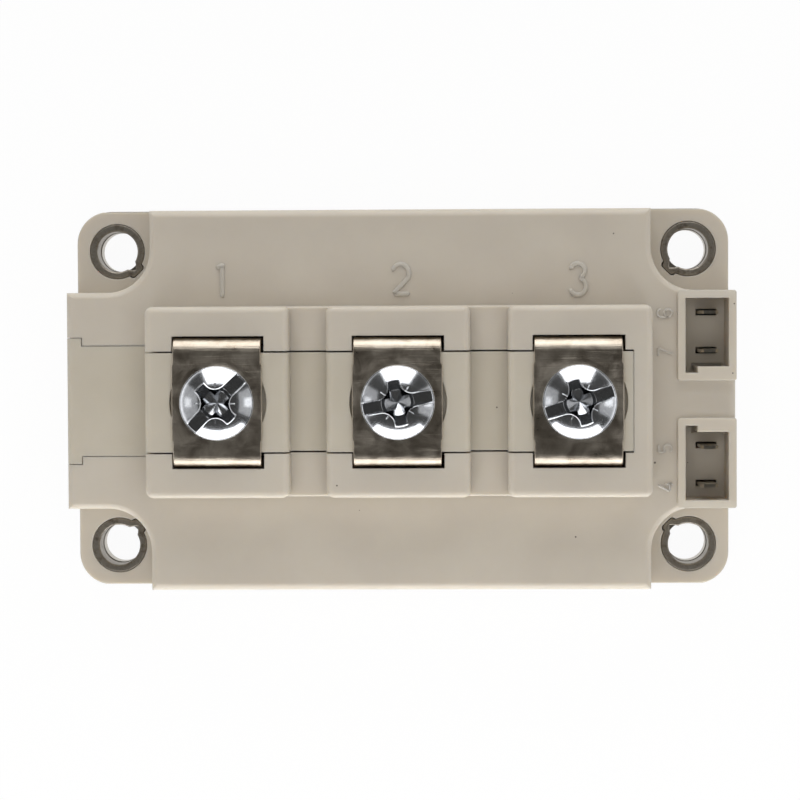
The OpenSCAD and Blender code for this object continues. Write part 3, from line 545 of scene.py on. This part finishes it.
def strapRings(centreX, footX, topZ, footZ, halfLength):
    # A rounded rectangle carried along the path; its two side edges move with the strip's width.
    size = strap
    path = strapPath(halfLength, topZ, footZ)
    y, z, angle = path.T
    onTop = angle < 0.01
    taper = (size["faceHalf"] - size["bendHalf"]) * step(y, size["faceEnd"], size["bendStart"])
    wide = np.where(onTop, size["faceHalf"] - taper, size["bendHalf"])
    narrow = (z < size["neck"] - 0.02) & (angle > 1.5)
    left = np.where(narrow, footX - size["legHalf"], -wide)
    right = np.where(narrow, footX + size["legHalf"], wide)
    corner = np.radians(np.linspace(0, 90, 6))
    inset = size["edgeRadius"]
    rise = size["sheet"] / 2 - inset
    loop = [(1, rise + inset * np.sin(a), inset * (1 - np.cos(a))) for a in corner]
    loop += [(0, rise + inset * np.sin(a), inset * (1 - np.cos(a))) for a in corner[::-1]]
    loop += [(0, -rise - inset * np.sin(a), inset * (1 - np.cos(a))) for a in corner]
    loop += [(1, -rise - inset * np.sin(a), inset * (1 - np.cos(a))) for a in corner[::-1]]
    isRight, off, pull = np.array(loop).T
    x = np.where(isRight > 0.5, right[:, None] - pull, left[:, None] + pull) + centreX + size["shift"]
    outY, outZ = np.sin(angle)[:, None] * off, np.cos(angle)[:, None] * off
    rings = np.stack([x, y[:, None] + outY, z[:, None] + outZ], axis=-1)
    mirrored = rings[:0:-1] * (1, -1, 1)
    return np.concatenate([mirrored, rings])


def cutHole(mesh, x, z0, z1, radius):
    # Takes a round hole out of a mesh and keeps the result as a plain mesh.
    turn = np.linspace(0, 2 * math.pi, strap["holeSides"], endpoint=False)
    ring = np.stack([x + radius * np.cos(turn), radius * np.sin(turn), np.zeros_like(turn)], axis=-1)
    drill = ringsToMesh("drill", [np.stack([ring + (0, 0, z0), ring + (0, 0, z1)])])
    work = bpy.data.objects.new("work", mesh)
    tool = bpy.data.objects.new("tool", drill)
    scene.collection.objects.link(work)
    scene.collection.objects.link(tool)
    cut = work.modifiers.new("hole", "BOOLEAN")
    cut.object, cut.operation, cut.solver = tool, "DIFFERENCE", "EXACT"
    done = bpy.data.meshes.new_from_object(work.evaluated_get(bpy.context.evaluated_depsgraph_get()))
    bpy.data.objects.remove(work)
    bpy.data.objects.remove(tool)
    done.shade_smooth()
    done.set_sharp_from_angle(angle=math.radians(38))
    return done


def makeStraps(material):
    for name, footX in strap["footShift"].items():
        low, high = [c * 1000 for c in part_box(name)]
        screwLow, screwHigh = [c * 1000 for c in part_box(name.replace("terminal", "screw"))]
        centre = (screwLow.x + screwHigh.x) / 2
        mesh = ringsToMesh(name, [strapRings(centre, footX, high.z, low.z, high.y)])
        mesh = cutHole(mesh, centre, high.z - 3, high.z + 3, strap["holeRadius"])
        mesh.name = name + "_strip"
        placePiece(name + "_strip", mesh, material, "terminal_metal", name)


# Sleeves: rolled steel strip with rounded ends and a seam that stands out towards the middle of the part.
sleeve = {
    "outer": 4.4, "inner": 3.3, "outerRound": 0.16, "innerRound": 0.3,
    "lipOut": 0.55, "lipStart": 0.2, "lipEnd": 0.31,  # the lip's sides, in radians from the seam
    "notch": 0.92,  # depth of the V in the bore, as wide as deep on each side
    "wobble": 0.02,
    "holeX": 46.5, "holeY": 24.0,
    "corners": {"sleeve_1": (-1, 1), "sleeve_2": (1, 1), "sleeve_3": (-1, -1), "sleeve_4": (1, -1)},
}


def sleeveRings(x, y, bottom, top, seam):
    # A rounded rectangle turned round the hole. Near the seam both its outer and its inner side move out.
    size = sleeve
    turn = np.linspace(-math.pi, math.pi, 300, endpoint=False)
    lip = 1 - step(np.abs(turn), size["lipStart"], size["lipEnd"])
    outer = size["outer"] + size["lipOut"] * lip
    cut = np.clip(size["notch"] - np.abs(turn) * size["inner"], 0, None)
    inner = size["inner"] + cut + size["wobble"] * np.sin(3 * turn + x)
    a, b = size["outerRound"], size["innerRound"]
    quarter = np.radians(np.linspace(0, 90, 7))
    loop = [(1, -a + a * np.cos(q), 1, -a + a * np.sin(q)) for q in quarter]
    loop += [(0, b - b * np.cos(q), 1, -b + b * np.sin(q)) for q in quarter[::-1]]
    loop += [(0, b - b * np.cos(q), 0, b - b * np.sin(q)) for q in quarter]
    loop += [(1, -a + a * np.cos(q), 0, a - a * np.sin(q)) for q in quarter[::-1]]
    onOuter, dr, onTop, dz = np.array(loop).T
    radius = np.where(onOuter > 0.5, outer[:, None], inner[:, None]) + dr
    height = np.where(onTop > 0.5, top, bottom) + dz
    angle = turn[:, None] + seam
    return np.stack([x + radius * np.cos(angle), y + radius * np.sin(angle),
                     np.broadcast_to(height, radius.shape)], axis=-1)


def makeSleeves(material):
    for name, (sx, sy) in sleeve["corners"].items():
        low, high = [c * 1000 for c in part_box(name)]
        centre = (sx * sleeve["holeX"], sy * sleeve["holeY"])
        grid = sleeveRings(*centre, low.z, high.z, math.atan2(-sy, -sx))
        grid = np.concatenate([grid, grid[:1]])
        mesh = tubeToMesh(name + "_rolled", grid)
        placePiece(name + "_rolled", mesh, material, "sleeve_steel", name)


def tubeToMesh(name, grid):
    # A grid that closes on itself both ways; its last row repeats the first and is dropped.
    rows, columns = grid.shape[0] - 1, grid.shape[1]
    index = np.arange(rows * columns).reshape(rows, columns)
    below = np.roll(index, -1, axis=0)
    quads = np.stack([index, np.roll(index, -1, axis=1), np.roll(below, -1, axis=1), below], axis=-1)
    return pointsToMesh(name, grid[:-1].reshape(-1, 3), quads.reshape(-1, 4).tolist(), 50)


# Studio: white floor, softboxes along the part's long sides, weaker ones at its ends, a fill above, dim room.
studio = {
    # Each softbox: middle, width, height and radiance, where 1 is white paper.
    "north": ((0, 0.62, 0.33), 0.75, 0.66, 2.6),
    "south": ((0, -0.2, 0.061), 0.38, 0.122, 3.4),
    "east": ((0.5, 0, 0.24), 0.52, 0.48, 0.45),
    "west": ((-0.5, 0, 0.24), 0.52, 0.48, 0.4),
    "eastSpot": ((0.48, 0, 0.2), 0.16, 0.2, 0.9),
    "westSpot": ((-0.48, 0, 0.19), 0.14, 0.16, 0.7),
    "fill": ((0, -0.13, 0.5), 0.6, 0.6, 1.35),  # overhead, left out of reflections
    "room": 0.07, "zenith": 0.05,
    "floorSize": 3.0,
}


def softbox(name):
    # Power in watts is radiance times pi times area.
    place, width, height, radiance = studio[name]
    data = bpy.data.lights.new(name, "AREA")
    data.shape, data.size, data.size_y = "RECTANGLE", width, height
    data.energy = radiance * math.pi * width * height
    lamp = bpy.data.objects.new(name, data)
    scene.collection.objects.link(lamp)
    lamp.location = place
    target = Vector((0, 0, 0.02 if name == "fill" else place[2]))
    lamp.rotation_euler = (target - Vector(place)).to_track_quat("-Z", "Y").to_euler()
    lamp.visible_camera = False
    lamp.visible_glossy = name != "fill"


def makeStudio():
    size = studio
    for name in ("north", "south", "east", "west", "eastSpot", "westSpot", "fill"):
        softbox(name)

    world = bpy.data.worlds.new("studio")
    scene.world = world
    world.use_nodes = True
    tree = world.node_tree
    tree.nodes.clear()
    rays = addNode(tree, "LightPath").outputs
    direction = addNode(tree, "TexCoord").outputs["Generated"]
    up = addNode(tree, "SeparateXYZ", {"Vector": direction}).outputs["Z"]
    rise = addNode(tree, "MapRange", {"Value": up, "From Min": 0.6, "From Max": 0.98,
                                      "To Min": size["room"], "To Max": size["zenith"]}).outputs["Result"]
    # The white backdrop shows just above the floor, to the camera and in mirrors alike.
    seen = addNode(tree, "Math", {0: rays["Is Glossy Ray"], 1: rays["Is Transmission Ray"]},
                   operation="MAXIMUM").outputs[0]
    band = addNode(tree, "MapRange", {"Value": up, "From Min": 0.02, "From Max": 0.07, "To Min": 1.0,
                                      "To Max": 0.0}).outputs["Result"]
    mirrored = addNode(tree, "Math", {0: seen, 1: band}, operation="MULTIPLY").outputs[0]
    white = addNode(tree, "Math", {0: rays["Is Camera Ray"], 1: mirrored}, operation="MAXIMUM").outputs[0]
    room = addNode(tree, "Background", {"Color": colour("fffdf8"), "Strength": rise})
    backdrop = addNode(tree, "Background", {"Color": (1, 1, 1, 1), "Strength": 1.0})
    both = addNode(tree, "MixShader", {0: white, 1: room.outputs[0], 2: backdrop.outputs[0]})
    addNode(tree, "OutputWorld", {"Surface": both.outputs[0]})

    # Floor: matt white paper that keeps a faint shadow and otherwise reads as white.
    material, tree = newMaterial("paperWhiteMatt")[:2]
    rays = addNode(tree, "LightPath").outputs
    seen = addNode(tree, "Math", {0: rays["Is Camera Ray"], 1: rays["Is Glossy Ray"]},
                   operation="MAXIMUM").outputs[0]
    seen = addNode(tree, "Math", {0: seen, 1: rays["Is Transmission Ray"]}, operation="MAXIMUM").outputs[0]
    share = addNode(tree, "Math", {0: seen, 1: 0.95}, operation="MULTIPLY").outputs[0]
    paper = addNode(tree, "BsdfDiffuse", {"Color": colour("f4f4f2")})
    glow = addNode(tree, "Emission", {"Color": (1, 1, 1, 1), "Strength": 1.0})
    both = addNode(tree, "MixShader", {0: share, 1: paper.outputs[0], 2: glow.outputs[0]})
    finishMaterial(tree, both.outputs[0])
    half = size["floorSize"] / 2
    mesh = bpy.data.meshes.new("floor")
    corners = [(x * half, y * half, -0.0001) for x, y in ((-1, -1), (1, -1), (1, 1), (-1, 1))]
    mesh.from_pydata(corners, [], [(0, 1, 2, 3)])
    mesh.materials.append(material)
    floor = bpy.data.objects.new("floor", mesh)
    scene.collection.objects.link(floor)


makeCamera()
makeStudio()
print("camera and studio ready")

materials = makeMaterials()
for node in nodes.values():
    for materialSlot in node.material_slots:
        materialSlot.material = materials[materialSlot.material.name.split(".")[0]]
print("materials assigned:", len(materials))

makeNumerals(materials["housing_plastic"])
makeScrews(materials["screw_metal"])
makeStraps(materials["terminal_metal"])
makeSleeves(materials["sleeve_steel"])
print("pieces made")
